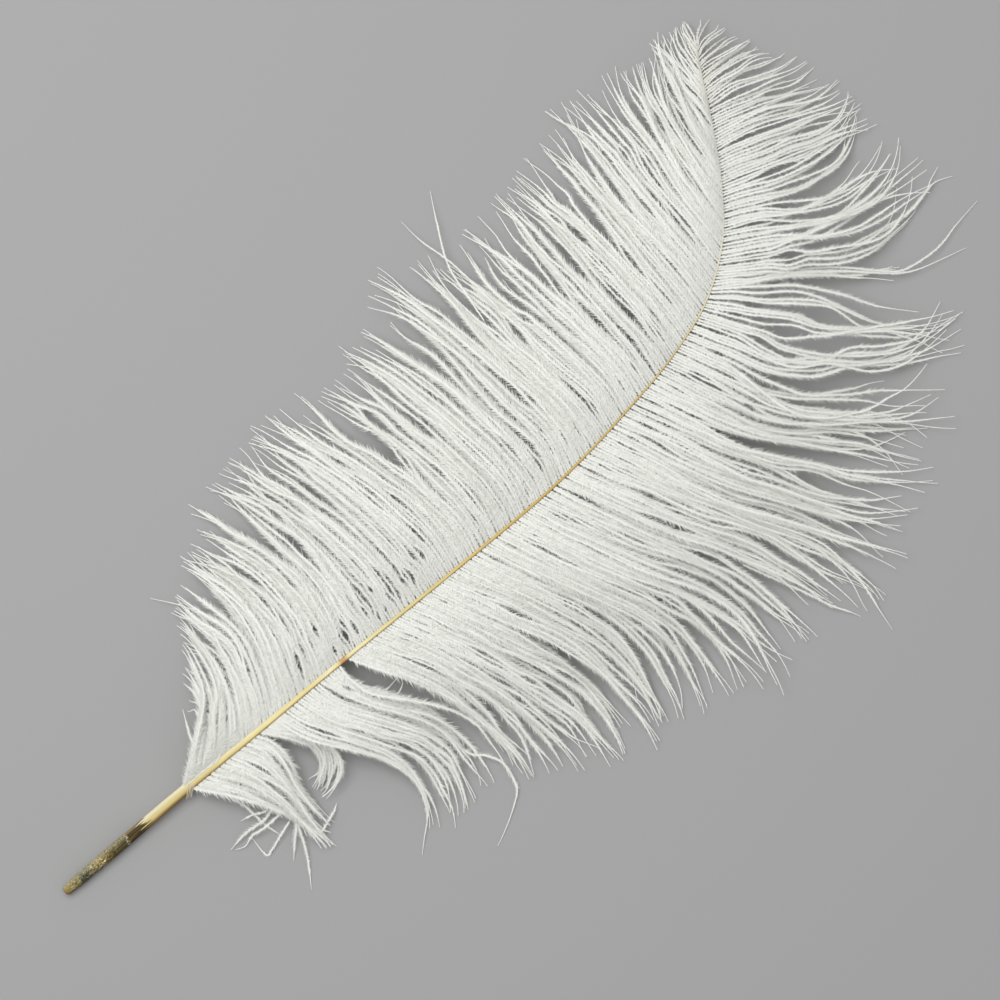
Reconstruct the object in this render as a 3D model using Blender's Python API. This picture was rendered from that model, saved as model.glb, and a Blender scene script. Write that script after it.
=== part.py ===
# A white ostrich plume that lies on a flat surface, right side up.
# Metres, +Z up. +X runs along the straight lower shaft from the quill end towards the tip,
# and +Y is the left vane's side. The surface that the plume lies on is z = 0.

import math
import random

import bmesh
import bpy
from mathutils import Vector
from mathutils.geometry import interpolate_bezier

MM = 0.001

# The quill end, placed so that the middle of the plume's box is over the origin
QUILL_END = Vector((-178.5, 0.3, 0.0)) * MM

# Shaft stations in mm: along, across, height of the axis, radius
SHAFT = [
    (0, 0, 1.95, 1.80),
    (26, 0.5, 2.6, 1.87),
    (50, 1, 3.8, 1.70),
    (80, 0.7, 6.0, 1.30),
    (115, 0.8, 8.5, 0.95),
    (157, 0.4, 11.0, 0.75),
    (202, 1, 12.5, 0.55),
    (238, 5.5, 12.5, 0.42),
    (259, 10, 12.0, 0.38),
    (275, 16, 11.5, 0.36),
    (290, 27, 10.5, 0.34),
    (301, 41, 9.5, 0.32),
    (310, 56, 8.5, 0.30),
    (319, 73, 7.0, 0.28),
    (323, 80, 6.5, 0.26),
]

# Vane stations in mm and degrees: the root's distance up the shaft, the barb tip's place
# along and across, and the directions in which a barb leaves the shaft and ends at its tip
LEFT_VANE = [
    (50, 71, 22, 38, 60),
    (57, 79, 36, 42, 80),
    (66, 85, 47, 46, 106),
    (80, 86, 55, 50, 130),
    (115, 104, 64, 52, 128),
    (137, 122, 73, 56, 122),
    (157, 135, 77, 58, 122),
    (177, 157, 78, 60, 116),
    (202, 190, 91, 60, 108),
    (228, 219, 95, 62, 104),
    (244, 238, 88, 62, 98),
    (260, 264, 92, 62, 88),
    (277, 286, 92, 64, 90),
    (297, 299, 89, 74, 88),
    (311, 308, 87, 84, 86),
    (325, 314, 89, 84, 80),
    (342, 321, 89, 82, 72),
    (352, 327, 87, 72, 60),
]
RIGHT_BASE = [
    (50, 58, -32, -46, -100),
    (57, 65, -40, -42, -96),
    (65, 70, -42, -42, -100),
    (73, 75, -37, -46, -108),
]
RIGHT_LOWER = [
    (88, 95, -61, -38, -126),
    (98, 106, -66, -44, -110),
    (109, 121, -65, -58, -84),
]
RIGHT_UPPER = [
    (117, 131, -73, -46, -88),
    (137, 151, -67, -44, -76),
    (157, 166, -78, -44, -76),
    (173, 179, -83, -44, -76),
    (189, 197, -90, -44, -72),
    (205, 229, -88, -42, -58),
    (220, 252, -97, -40, -46),
    (230, 270, -89, -38, -38),
    (244, 292, -76, -32, -36),
    (260, 314, -62, -26, -32),
    (273, 331, -46, -16, -26),
    (284, 346, -27, -6, -20),
    (296, 359, -8, 2, -8),
    (306, 354, 10, 14, -12),
    (318, 351, 29, 26, -10),
    (331, 347, 44, 34, -4),
    (342, 342, 58, 42, 4),
    (352, 336, 72, 50, 12),
]

# Each side's stretches of vane, with their numbers of locks. The right vane is parted in two places
LEFT_SIDE = [("left", LEFT_VANE, 30)]
RIGHT_SIDE = [("right_base", RIGHT_BASE, 5), ("right_lower", RIGHT_LOWER, 4), ("right", RIGHT_UPPER, 29)]

# The locks low on the right vane that curl back on themselves, as root and route in mm
CURLED_LOCKS = [
    (77, [(87, -7, 10), (92, -15, 9), (92, -22, 6), (86, -27, 3), (79, -28, 1)]),
    (83, [(94, -9, 10), (98, -18, 8), (96, -26, 4), (89, -31, 1)]),
]

# Half of a lock's width at its fullest, in mm: the shortest lock's, what each mm of reach adds,
# and the most that it comes to. The curled locks have their own
SHORTEST_HALF_WIDTH = 1.8
WIDER_WITH_REACH = 0.07
LOCK_HALF_WIDTH = 6.4
CURL_HALF_WIDTH = 3.0
# Half of a lock's thickness, as a share of half of its width
LOCK_FLATNESS = 0.22
# A lock's width from root to tip: share of its length, share of its fullest width
LOCK_TAPER = [(0.0, 0.72), (0.25, 1.0), (0.5, 0.96), (0.75, 0.62), (0.92, 0.3), (1.0, 0.1)]
# Points along a lock: the fewest, and the reach in mm that adds one more
FEWEST_POINTS = 5
REACH_PER_POINT = 30

# How far a lock runs straight on from its root, and straight in to its tip, as a share of its reach
HANDLE = 0.4
# Degrees by which a lock may turn from its vane's direction, at the root and at the tip
ROOT_SPREAD = 3
TIP_SPREAD = 6
# How high a lock arches over the shaft: a share of its reach, and the most in mm
ARCH_SHARE = 0.16
ARCH_HEIGHT = 11.0
# How much each mm of the arch lifts a lock just before its tip, as a share of the tip's height
LANDING_SHARE = 0.3
# Every second lock arches this many mm over its neighbours, as the upper layer of the vane
LAYER_STEP = 1.1
# A lock's roll about its own length, which tucks its edge under the next lock
ROLL = math.radians(9)
# Heights in mm at which one lock after another ends. Those at 0 lie on the surface
TIP_HEIGHTS = (0.0, 4.5, 2.0)

# Steps of a smooth route between one station and the next
SHAFT_STEPS = 3
CURL_STEPS = 2
# Sides of a quarter of the shaft's round section, less one
SHAFT_ROUNDNESS = 2
# The block under the surface, in m, and the distance at which loose points are welded
BLOCK_LENGTH = 0.5
BLOCK_WIDTH = 0.4
BLOCK_DEPTH = 0.02
WELD_DISTANCE = 1e-6

# The plume's colour and roughness as one material, mostly that of its vanes
VANE_COLOUR = (0.82, 0.82, 0.79)
VANE_ROUGHNESS = 0.7

chance = random.Random(11)


def clear_scene():
    for item in list(bpy.data.objects):
        bpy.data.objects.remove(item, do_unlink=True)


def new_collection(name):
    collection = bpy.data.collections.new(name)
    bpy.context.scene.collection.children.link(collection)
    return collection


def keratin(name, colour, roughness):
    material = bpy.data.materials.new(name)
    material.use_nodes = True
    shader = material.node_tree.nodes["Principled BSDF"]
    shader.inputs["Base Color"].default_value = (*colour, 1.0)
    shader.inputs["Roughness"].default_value = roughness
    shader.inputs["Metallic"].default_value = 0.0
    return material


def between(stations, at):
    # The row of a table at this value of its first column, on straight lines between rows
    for low, high in zip(stations, stations[1:]):
        if at <= high[0]:
            break
    share = (at - low[0]) / (high[0] - low[0])
    return [a + (b - a) * share for a, b in zip(low, high)]


def through(points, steps):
    # A smooth route through these points, with this many steps from each to the next
    route = []
    for i in range(len(points) - 1):
        before = points[max(i - 1, 0)]
        start, end = points[i], points[i + 1]
        after = points[min(i + 2, len(points) - 1)]
        for step in range(steps):
            t = step / steps
            leave = (end - before) / 2 * (t**3 - 2 * t**2 + t)
            arrive = (after - start) / 2 * (t**3 - t**2)
            route.append(start * (2 * t**3 - 3 * t**2 + 1) + leave + end * (3 * t**2 - 2 * t**3) + arrive)
    return route + [points[-1]]


def shaft_table():
    # Rows of distance up the shaft, place along and across, height and radius, in mm
    route = through([Vector(station) for station in SHAFT], SHAFT_STEPS)
    table = [(0.0, *route[0])]
    for last, now in zip(route, route[1:]):
        table.append((table[-1][0] + (now.xyz - last.xyz).length, *now))
    return table


def direction(degrees):
    return Vector((math.cos(math.radians(degrees)), math.sin(math.radians(degrees)), 0.0))


def curve_object(name, points, radii, roll, section):
    # A tube through the points, in mm. It is round, or has the section scaled by the radii
    curve = bpy.data.curves.new(name, "CURVE")
    curve.dimensions = "3D"
    curve.twist_mode = "Z_UP"
    curve.use_fill_caps = True
    if section:
        curve.bevel_mode = "OBJECT"
        curve.bevel_object = section
    else:
        curve.bevel_depth = MM
        curve.bevel_resolution = SHAFT_ROUNDNESS
    spline = curve.splines.new("POLY")
    spline.points.add(len(points) - 1)
    for point, place, radius in zip(spline.points, points, radii):
        point.co = (*(QUILL_END + place * MM), 1.0)
        point.radius = radius
        point.tilt = roll
    return bpy.data.objects.new(name, curve)


def as_mesh(item, collection):
    # The curve's evaluated shape as a mesh object of the same name, with its caps welded on
    bpy.context.scene.collection.objects.link(item)
    bpy.context.view_layer.update()
    graph = bpy.context.evaluated_depsgraph_get()
    mesh = bpy.data.meshes.new_from_object(item.evaluated_get(graph))
    name = item.name
    place = item.matrix_world.copy()
    bpy.data.objects.remove(item, do_unlink=True)
    work = bmesh.new()
    work.from_mesh(mesh)
    bmesh.ops.remove_doubles(work, verts=work.verts, dist=WELD_DISTANCE)
    bmesh.ops.recalc_face_normals(work, faces=work.faces)
    work.to_mesh(mesh)
    work.free()
    solid = bpy.data.objects.new(name, mesh)
    solid.matrix_world = place
    collection.objects.link(solid)
    return solid


def as_guide(item):
    item.hide_render = True
    item.display_type = "WIRE"
    return item


def lock_section(collection):
    # A lock's section: a flat diamond of half-width 1, whose ridge runs along the lock's middle
    curve = bpy.data.curves.new("lock_section", "CURVE")
    curve.dimensions = "2D"
    spline = curve.splines.new("POLY")
    corners = [(1, 0), (0, LOCK_FLATNESS), (-1, 0), (0, -LOCK_FLATNESS)]
    spline.points.add(len(corners) - 1)
    for point, (x, y) in zip(spline.points, corners):
        point.co = (x * MM, y * MM, 0.0, 1.0)
    spline.use_cyclic_u = True
    section = bpy.data.objects.new("lock_section", curve)
    collection.objects.link(section)
    return as_guide(section)


def lock_roots(stations, count):
    # Distances up the shaft at which the locks are evenly spread, at root or tip, whichever is wider
    steps = [0.0]
    for low, high in zip(stations, stations[1:]):
        tips = math.hypot(high[1] - low[1], high[2] - low[2])
        steps.append(steps[-1] + max(high[0] - low[0], tips))
    table = [(step, station[0]) for step, station in zip(steps, stations)]
    return [between(table, steps[-1] * i / (count - 1))[1] for i in range(count)]


def lock_route(stations, shaft, root, number):
    # A lock as a curve that leaves the shaft, arches over and ends near the surface
    _, x, y, height, _ = between(shaft, root)
    _, tip_x, tip_y, leave, arrive = between(stations, root)
    start = Vector((x, y, height))
    tip = Vector((tip_x, tip_y, TIP_HEIGHTS[number % len(TIP_HEIGHTS)]))
    reach = (tip - start).length
    arch = min(ARCH_HEIGHT, ARCH_SHARE * reach)
    first = start + direction(leave + chance.uniform(-ROOT_SPREAD, ROOT_SPREAD)) * reach * HANDLE
    first.z = height + arch + LAYER_STEP * (number % 2)
    second = tip - direction(arrive + chance.uniform(-TIP_SPREAD, TIP_SPREAD)) * reach * HANDLE
    second.z = tip.z * (1 + LANDING_SHARE * arch)
    return interpolate_bezier(start, first, second, tip, FEWEST_POINTS + round(reach / REACH_PER_POINT))


def lock(name, route, half_width, roll, section, locks):
    shares = [i / (len(route) - 1) for i in range(len(route))]
    radii = [half_width * between(LOCK_TAPER, share)[1] for share in shares]
    return as_guide(as_mesh(curve_object(name, route, radii, roll, section), locks))


def vane(stretches, roll, shaft, section, locks):
    for name, stations, count in stretches:
        for number, root in enumerate(lock_roots(stations, count)):
            route = lock_route(stations, shaft, root, number)
            reach = (route[-1] - route[0]).length
            half_width = min(LOCK_HALF_WIDTH, SHORTEST_HALF_WIDTH + WIDER_WITH_REACH * reach)
            lock(f"{name}_lock_{number + 1}", route, half_width, roll, section, locks)


def curled_locks(shaft, section, locks):
    for number, (root, route) in enumerate(CURLED_LOCKS):
        _, x, y, height, _ = between(shaft, root)
        points = [Vector((x, y, height))] + [Vector(place) for place in route]
        lock(f"curled_lock_{number + 1}", through(points, CURL_STEPS), CURL_HALF_WIDTH, 0.0, section, locks)


def add_boolean(item, name, operation, target):
    modifier = item.modifiers.new(name, "BOOLEAN")
    modifier.operation = operation
    modifier.solver = "EXACT"
    if isinstance(target, bpy.types.Collection):
        modifier.operand_type = "COLLECTION"
        modifier.collection = target
    else:
        modifier.object = target


def surface_block(collection):
    # The block under z = 0 that presses the lowest locks flat
    bpy.ops.mesh.primitive_cube_add(size=1.0, location=(0.0, 0.0, -BLOCK_DEPTH / 2))
    block = bpy.context.object
    block.name = "surface_block"
    block.scale = (BLOCK_LENGTH, BLOCK_WIDTH, BLOCK_DEPTH)
    for owner in list(block.users_collection):
        owner.objects.unlink(block)
    collection.objects.link(block)
    return as_guide(block)


def build():
    clear_scene()
    parts = new_collection("ostrich_feather")
    locks = new_collection("locks")
    guides = new_collection("guides")

    shaft = shaft_table()
    points = [Vector(row[1:4]) for row in shaft]
    radii = [row[4] for row in shaft]
    feather = as_mesh(curve_object("feather", points, radii, 0.0, None), parts)
    feather.data.materials.append(keratin("white_vane", VANE_COLOUR, VANE_ROUGHNESS))

    section = lock_section(guides)
    vane(LEFT_SIDE, ROLL, shaft, section, locks)
    vane(RIGHT_SIDE, -ROLL, shaft, section, locks)
    curled_locks(shaft, section, locks)

    add_boolean(feather, "fuse the locks", "UNION", locks)
    add_boolean(feather, "press flat", "DIFFERENCE", surface_block(guides))


build()
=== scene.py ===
import math

import bpy
import numpy as np
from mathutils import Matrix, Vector, noise


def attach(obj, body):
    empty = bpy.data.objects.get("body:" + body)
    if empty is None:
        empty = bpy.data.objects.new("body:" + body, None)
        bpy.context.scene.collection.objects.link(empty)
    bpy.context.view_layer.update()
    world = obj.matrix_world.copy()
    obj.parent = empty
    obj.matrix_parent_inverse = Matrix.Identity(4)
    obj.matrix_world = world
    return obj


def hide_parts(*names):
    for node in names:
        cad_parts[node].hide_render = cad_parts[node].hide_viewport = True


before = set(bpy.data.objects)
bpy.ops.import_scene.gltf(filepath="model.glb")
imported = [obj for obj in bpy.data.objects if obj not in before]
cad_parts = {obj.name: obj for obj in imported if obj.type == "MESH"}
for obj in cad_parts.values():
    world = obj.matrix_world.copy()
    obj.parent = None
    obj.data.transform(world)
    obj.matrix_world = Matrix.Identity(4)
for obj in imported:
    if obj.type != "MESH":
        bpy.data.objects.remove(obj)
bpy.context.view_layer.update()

print("frame loaded")

mm = 0.001
quillEnd = np.array([-178.5, 0.3, 0])  # where the quill end is in the frame
chance = np.random.default_rng(7)
endings = np.random.default_rng(5)  # for the barbs that end early

shaft = {
    # along, across, height of the axis, radius
    "stations": [
        (0, 0.25, 1.95, 1.8), (26, 0.6, 2.6, 1.87), (50, 1, 3.8, 1.7), (80, 0.7, 6, 1.3),
        (115, 0.8, 8.5, 0.95), (157, 0.4, 11, 0.75), (202, 1, 12.5, 0.55), (238, 5.5, 12.5, 0.42),
        (259, 10, 12, 0.38), (275, 16, 11.5, 0.36), (290, 27, 10.5, 0.34), (301, 41, 9.5, 0.32),
        (310, 56, 8.5, 0.3), (319, 73, 7, 0.28), (323, 80, 6.5, 0.26),
    ],
    "sides": 36,
    "quillRings": 0.14, "finePast": 4,  # spacing of the rings up to this far past the sheath
    "shaftRings": 0.5,  # and from there on
    # Thickness of the quill along it, in shares of the radius
    "nub": [
        (0, 0.62), (0.3, 0.8), (0.8, 0.89), (3, 0.94), (4, 1.03), (14, 1.01), (17, 1.05), (24, 1.04),
        (28, 1),
    ],
    "foot": 0.7, "footEnd": 5,  # how far the nub is stretched down, and where that ends
    "footCap": 0.12, "tipCap": 0.5,  # how far both ends stand out
    "sheathEnd": 25.2,  # the crusty sheath reaches this far up the quill
    "sheathEdge": 0.4,  # length over which it fades into the bare quill
    "crust": [(3.4, 0), (5, 0.1), (11, 0.17), (19, 0.17), (21, 0.08), (25.2, 0.06)],  # its roughness
    # How fine that is around and along the quill, and its layers' scales and strengths
    "crustGrain": (1.3, 0.55), "crustLayers": [(1.6, 1), (4.1, 0.6), (8.3, 0.4)],
    "lip": 0.13, "lipWidth": 0.3,  # height and width of its pale rim
    "ridge": 0.012, "ridgeSpacing": 1.9,  # fine cross ridges higher up
    "furrow": 0.35, "furrowWidth": 0.45,  # underneath: depth in radii, width in radians
    "furrowFrom": (45, 75),
    "knotAt": 115, "knotLength": 2.2, "knotHeight": 0.1,
}
def smoothStep(low, high, value):
    share = np.clip((value - low) / (high - low), 0, 1)
    return share * share * (3 - 2 * share)


def smoothRoute(points, steps):
    # A smooth route through these points
    points = np.array(points, float)
    route = []
    for i in range(len(points) - 1):
        before, start, end, after = (points[min(max(k, 0), len(points) - 1)] for k in range(i - 1, i + 3))
        for t in np.arange(steps) / steps:
            leave = (end - before) / 2 * (t**3 - 2 * t**2 + t)
            arrive = (after - start) / 2 * (t**3 - t**2)
            route.append(start * (2 * t**3 - 3 * t**2 + 1) + leave + end * (3 * t**2 - 2 * t**3) + arrive)
    return np.array(route + [points[-1]])


def distanceAlong(route):
    return np.concatenate([[0], np.cumsum(np.linalg.norm(np.diff(route, axis=0), axis=1))])


def between(at, places, rows):
    # Values at these distances, from a row of them for each of the places
    return np.stack([np.interp(at, places, column) for column in rows.T], axis=-1)


def unit(vectors):
    return vectors / np.linalg.norm(vectors, axis=-1, keepdims=True)


def sidesOf(ahead):
    # The directions to the right of these and up from them
    right = unit(np.cross(ahead, [0, 0, 1]))
    return right, np.cross(right, ahead)


shaftRoute = smoothRoute(shaft["stations"], 24)
shaftDistance = distanceAlong(shaftRoute[:, :3])
shaftLength = shaftDistance[-1]


def onShaft(distance):
    # Places on the shaft's axis, the directions in which it runs there and its radii
    row = between(distance, shaftDistance, shaftRoute)
    slope = np.gradient(shaftRoute[:, :3], shaftDistance, axis=0)
    return row[..., :3], unit(between(distance, shaftDistance, slope)), row[..., 3]


def table(pairs, at):
    # A value that changes along the shaft or a barb, from pairs of places and values
    return np.interp(at, *zip(*pairs))


def pick(span, *size):
    # Random values within a span
    return chance.uniform(*span, *size)


def numberOff(count, fewest, most):
    # Numbers barbs off into groups of neighbours
    sizes = chance.integers(fewest, most + 1, count)
    return np.repeat(np.arange(count), sizes)[:count]


def eachGroup(groups, spread):
    # One random value for each group, given to each of its barbs
    return chance.normal(0, spread, groups.max() + 1)[groups][:, None]


def gather(routes, groups, weight):
    # Pulls each barb towards the middle of its group, by a weight for each step
    counts = np.bincount(groups)
    steps = range(routes.shape[1])
    middles = np.stack([
        np.stack([np.bincount(groups, routes[:, step, k]) / counts for step in steps], axis=-1)
        for k in range(3)
    ], axis=-1)[groups]
    return routes + (middles - routes) * weight[..., None]


def wander(count, distance, size, waves):
    # A sideways sway of each barb with these wave lengths
    amount = np.zeros((count, distance.shape[-1]))
    for wave in waves:
        strength = chance.normal(0, size / math.sqrt(len(waves)), (count, 1))
        phase = chance.uniform(0, 2 * math.pi, (count, 1))
        amount += strength * np.sin(2 * math.pi * distance / wave + phase)
    return amount


# The barbs of a stretch of vane, at stations: the root's distance up the shaft, the barb's length, and its
# heading at the root, at each quarter and at the tip
leftVane = {
    "side": 1,
    "stretches": [[
        (49.5, 48, 34, 34, 38, 64, 92), (63, 48, 43, 48, 60, 80, 98), (75, 50, 54, 61, 82, 102, 114),
        (86, 56, 60, 66, 86, 102, 110), (97, 60, 64, 72, 92, 108, 114), (109, 64, 70, 77, 95, 108, 110),
        (120, 68, 76, 84, 98, 106, 112), (131, 73, 78, 90, 98, 108, 109), (143, 75, 79, 94, 101, 106, 108),
        (154, 76, 79, 97, 108, 112, 111), (165, 75, 75, 98, 106, 110, 115), (177, 78, 73, 95, 100, 104, 110),
        (188, 80, 70, 95, 99, 100, 106), (199, 82, 70, 96, 98, 99, 107), (211, 86, 73, 98, 96, 101, 106),
        (222, 80, 80, 97, 100, 99, 99), (233, 78, 80, 94, 95, 96, 97), (245, 76, 82, 93, 92, 88, 92),
        (256, 73, 84, 93, 90, 92, 91), (267, 79, 86, 92, 90, 91, 97), (279, 73, 90, 91, 88, 91, 89),
        (290, 68, 91, 88, 90, 90, 90), (301, 59, 89, 86, 83, 80, 66), (313, 49, 90, 85, 80, 70, 60),
        (324, 41, 90, 84, 77, 69, 60), (335, 31, 90, 86, 81, 74, 64), (347, 19.5, 88, 85, 81, 74, 64),
        (354, 12.7, 83, 81, 77, 72, 66), (358.4, 8.4, 80, 78, 76, 73, 68),
    ]],
    "fluff": [(50, 1), (200, 1), (260, 0.9), (300, 0.68), (340, 0.38), (357, 0.28)],  # barbules' reach
    "loose": [(50, 1), (290, 1), (310, 1.2), (335, 1)],  # how freely the barbs stray
    "bare": [(50, 0.08), (300, 0.1), (320, 0.16), (357, 0.2)],  # share of a barb's length, at its tip
    "early": [(49, 0.5), (62, 0.35), (76, 0)],  # share of the barbs that end early
    "strandHold": (0.25, 0.65),  # how much of the way to its middle a strand's barbs close up
    "lockHold": (0.15, 0.5),
    "root": (0.62, 0.7),  # how far to the side of the axis and over it, in radii
    "slits": 260,
    "rootSlits": [(98, 155, 32, 1.1), (150, 260, 30, 0.45)],  # start, end, number and width at most
    "gaps": [  # root, middle along the barb, half of the length, width
        (90, 44, 10, 0.9), (102, 49, 7, 1.4), (112.6, 3.8, 2.6, 0.9), (119, 4.8, 4.2, 0.9),
        (122.4, 5.4, 4.2, 1.3), (127, 49, 7, 1), (128.6, 7, 4.5, 0.9), (130.6, 3.8, 2.8, 0.6),
        (134.3, 3.8, 3, 0.6), (137.4, 6, 5, 0.8), (160, 51, 10, 1.3), (168, 52, 8, 1.1), (174, 55, 10, 2.6),
        (210, 26, 9, 1), (211, 66, 10, 1.2), (220, 46, 8, 1), (230, 44, 5, 1.3), (245, 39, 5, 0.8),
        (257, 57, 6, 1.4), (263, 60, 5, 1.5), (268, 57, 8, 1.4), (286, 46, 5, 1.1), (291, 36, 8, 1),
        (303, 36, 8, 1.7), (306, 24, 7, 0.8),
    ],
    # Each piece and where on the shaft it starts
    "pieces": [("left_vane_base", 0), ("left_vane_middle", 150), ("left_vane_tip", 245)],
}
rightVane = {
    "side": -1,
    "stretches": [[
        (51.5, 46, -49, -50, -56, -74, -88), (63, 45, -56, -64, -80, -92, -96),
        (77, 38, -44, -84, -118, -106, -90),
    ], [
        (79, 31, -46, -50, -71, -125, -154), (82, 34.5, -53, -54, -75, -134, -160),
        (85, 37.5, -61, -60, -80, -144, -168), (88.5, 38, -80, -73, -83, -149, -172),
    ], [
        (86, 66, -76, -55, -56, -96, -124), (97, 70, -72, -60, -58, -98, -122),
        (106, 70, -74, -56, -60, -86, -112), (112, 70, -96, -46, -58, -84, -112),
    ], [
        (116, 72, -58, -58, -74, -90, -107), (131, 76, -60, -66, -71, -80, -98),
        (143, 80, -62, -68, -64, -76, -94), (154, 87, -64, -62, -68, -85, -97),
        (165, 90, -66, -62, -66, -88, -103), (177, 94, -67, -64, -62, -84, -99),
        (188, 101, -68, -65, -58, -80, -92), (199, 97, -66, -66, -58, -72, -78),
        (211, 101, -64, -63, -57, -70, -76), (222, 100, -66, -68, -57, -58, -68),
        (233, 99, -64, -65, -56, -57, -52), (245, 94, -66, -68, -50, -54, -52),
        (256, 93, -65, -66, -44, -44, -41), (267, 92, -60, -66, -38, -38, -28),
        (272, 90, -57, -60, -44, -35, -27), (277, 84, -44, -43, -50, -50, -8),
        (279.8, 66, -35, -37, -44, -58, -44),
    ], [
        (280.5, 60, -31, -28, -37, -43, -50), (284.5, 60, -35, -36, -38, -42, -45),
        (287, 79, -33, -30, -26, -5, 11), (290, 79, -32, -29, -24, 0, 17), (301, 63, -24, -34, -24, -1, 10),
        (313, 50, -16, -21, -13, 2, 12), (324, 47.5, -8, -18, -24, -12, -4),
        (335, 38, -10, -17, -24, -27, -24), (340, 30, 0, -9, -18, -24, -24),
        (345, 23.5, 8, -2, -10, -17, -20), (351, 18, 10, -3, -11, -14, -13), (354, 15, 18, 4, -3, -6, -6),
        (356.5, 12, 28, 18, 10, 6, 5), (358.4, 9, 40, 38, 36, 36, 36),
    ], [
        (80, 33, -46, -50, -72, -130, -158), (87, 37, -76, -69, -78, -142, -168),  # more of the loop
    ]],
    "fluff": [
        (50, 0.95), (78, 0.95), (80, 0.7), (88, 0.7), (91, 0.97), (150, 1), (215, 0.9), (250, 0.7),
        (300, 0.55), (335, 0.45), (357, 0.28),
    ],
    "loose": [
        (50, 1), (225, 1), (247, 2.4), (272, 2.7), (278, 1.2), (286, 1.2), (291, 2.4), (302, 2.6),
        (318, 1.6), (330, 1),
    ],
    "bare": [(50, 0.07), (220, 0.08), (260, 0.12), (357, 0.15)],
    "early": [(50, 0), (357, 0)],
    "strandHold": (0.3, 0.8),
    "lockHold": (0.1, 0.35),
    "root": (0.75, 0.5),
    "slits": 280,
    "rootSlits": [(118, 255, 65, 0.32), (250, 300, 14, 0.3)],
    "gaps": [
        (98, 49, 6, 1.4), (107.3, 7.5, 3.4, 1.3), (111, 50, 7, 1.3), (131, 48, 8, 1), (138, 46, 6, 1.1),
        (162, 59, 16, 1.1), (167, 70, 12, 1.2), (182, 57, 8, 1.3), (185, 77, 19, 3.4), (198, 69, 14, 1.7),
        (200, 51, 11, 1), (232, 44, 12, 1.4), (235, 61, 14, 2.8), (250, 49, 8, 1.4), (256, 63, 10, 1.5),
        (267, 45, 12, 1.8), (270, 21, 7, 1.3), (272, 28, 9, 1.9), (276, 64, 7, 1.7), (277, 39, 13, 2.7),
        (279, 55, 12, 1.8), (288, 22, 7, 2), (288, 40, 13, 1.4), (299, 36, 12, 1.2), (303, 21, 11, 1.3),
        (311, 19, 12, 1.4),
    ],
    "pieces": [("right_vane_base", 0), ("right_vane_middle", 165), ("right_vane_tip", 240)],
}

barbs = {
    "spacing": 0.95, "jitter": 0.14,  # from root to root
    "steps": 64,  # of a barb's route
    "inStrand": (2, 5),  # neighbours that cling together
    "inLock": (7, 14),
    "uneven": (0.02, 0.035, 0.05),  # shares of the length, by lock, by strand and by barb
    "worn": 0.12, "wornTo": (0.72, 0.94),  # share of the barbs that are shorter, and what is left of them
    "earlyTo": (0.35, 0.9),  # what is left of those that end early
    # How far headings turn, by lock, or by strand and by barb, and over which share of the length
    "lockTurn": (1.2, 0.05, 0.5),
    "turns": [(2.6, 1.6, 0.25, 0.8), (6, 10, 0.6, 1)],
    "looseTurn": (5, 3, 0.08, 0.38), "looseWave": 5,
    "overTip": (285, 315),  # from here on the roots of the left barbs hide the shaft
    "overAside": 0.9, "overAbove": 0.4,  # and move this far, in radii
    "archHeight": 11, "archShare": 0.16,  # highest arch, and share of the length
    "archVary": 0.8,
    "archEnd": 0.25,  # share of the arch that is left two thirds out
    "tipHeight": (2.2, 0.7, 0.3),  # by strand, by barb, and at least
    "landing": 0.3,  # how much higher than its tip a barb runs before it
    "lockCloses": (0.3, 0.6), "strandCloses": (0.15, 0.55), "closeOver": 0.4,  # shares of the length
    "splay": (0.5, 0.8, 1),  # how much they open again, from where to where
    "tipSplay": (0.55, 300, 330),  # the same up the shaft
    # Size and wave lengths of a sway, and the distance from the root over which it comes in
    "barbSway": (0.11, (17, 31)), "strandSway": (0.3, (34, 60)), "swayFrom": (2, 14),
    "heightSway": (0.22, (14, 27)), "heightFrom": (3, 20),
    "lowest": (0.15, 0.35),  # least height, and how much it varies
    "stem": [(0, 0.1), (0.3, 0.09), (0.8, 0.105), (1, 0.05)],  # half of its width
    "cream": (325, 350), "creamEnd": (1, 12),  # where roots are cream, and how far along the barbs
    "brown": 4,  # the same value for the brown hairs
    "streaksApart": 3.7,  # between neighbours
}


slits = {
    "countedOver": 300,  # length of shaft
    "out": (0.1, 1), "outPower": 0.8,  # how far out on the barb, as a share of its length
    "half": (6, 15),  # half of the length
    "width": 0.3, "wider": 0.35, "steepest": 0.1,  # and at most this share of the half
    "widthIn": 0.6, "widthOut": 0.7,  # share of the width at the root, and what the tip has more
    "rootHalf": (2.8, 5.5), "rootOut": (0.5, 9), "rootWidth": (0.3, 1),  # those close to the shaft
    "neighbours": 9, "fade": (1.5, 3.5),  # barbs on each side that make way, and how soon less of it
    "from": (0.5, 3),  # distance from the root over which they open
    "snug": 0.62,  # how much shorter the barbules beside them are
}


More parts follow.
